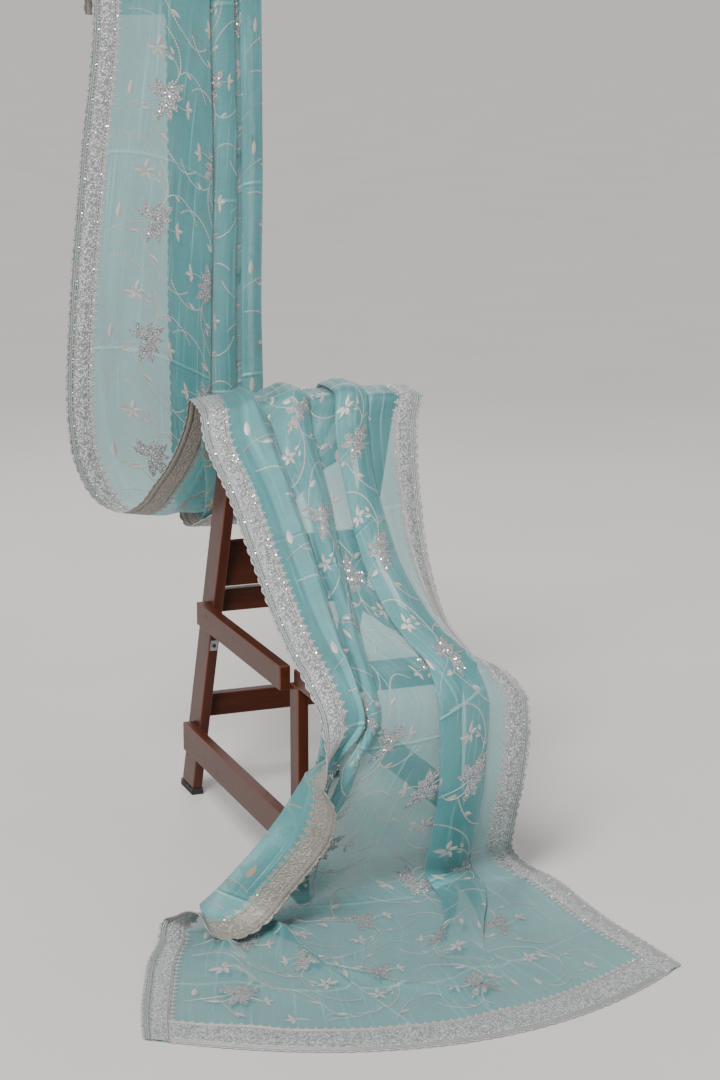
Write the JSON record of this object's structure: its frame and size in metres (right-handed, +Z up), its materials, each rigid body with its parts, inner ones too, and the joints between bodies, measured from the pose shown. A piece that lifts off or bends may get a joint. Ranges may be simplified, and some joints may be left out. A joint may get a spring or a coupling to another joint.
{
  "type": "saree draped over a rod and a wooden step stand",
  "caption": "Sheer embroidered saree with a lace border, hung from a rod, looped over a small wooden stand and spread on the floor.",
  "frame": {"origin": "on the floor, at the middle of the part's footprint", "axes": "+Z up, +X to the right and -Y to the front of the stand, where the end of the saree spreads on the floor"},
  "size_m": [0.996, 1.489, 1.7912],
  "materials": {
    "organza": "sheer, with a soft sheen",
    "lace": "silver thread and sequins",
    "wood": "satin varnish",
    "steel": "satin",
    "rubber": "matte"
  },
  "bodies": {
    "root": {"bracket": "steel", "bracket_screw": "steel", "cloth_fall": "organza", "cloth_floor": "organza", "cloth_front": "organza", "cloth_hanging": "organza", "cloth_loop": "organza", "cloth_rise": "organza", "cloth_rod_end": "organza", "foot_front_left": "rubber", "foot_front_right": "rubber", "foot_rear_left": "rubber", "foot_rear_right": "rubber", "lace_end": "lace", "lace_left_fall": "lace", "lace_left_floor": "lace", "lace_left_front": "lace", "lace_left_hanging": "lace", "lace_left_loop": "lace", "lace_left_rise": "lace", "lace_left_rod_end": "lace", "lace_right_fall": "lace", "lace_right_floor": "lace", "lace_right_front": "lace", "lace_right_hanging": "lace", "lace_right_loop": "lace", "lace_right_rise": "lace", "lace_right_rod_end": "lace", "leg_front_left": "wood", "leg_front_right": "wood", "leg_rear_left": "wood", "leg_rear_right": "wood", "rail_lower_left": "wood", "rail_lower_right": "wood", "rail_rear_low": "wood", "rail_rear_seat": "wood", "rail_top": "wood", "rail_upper_left": "wood", "rail_upper_right": "wood", "rod": "steel", "rod_cap_left": "steel", "rod_cap_right": "steel", "slat_back": "wood", "step_board": "wood"}
  },
  "joints": []
}
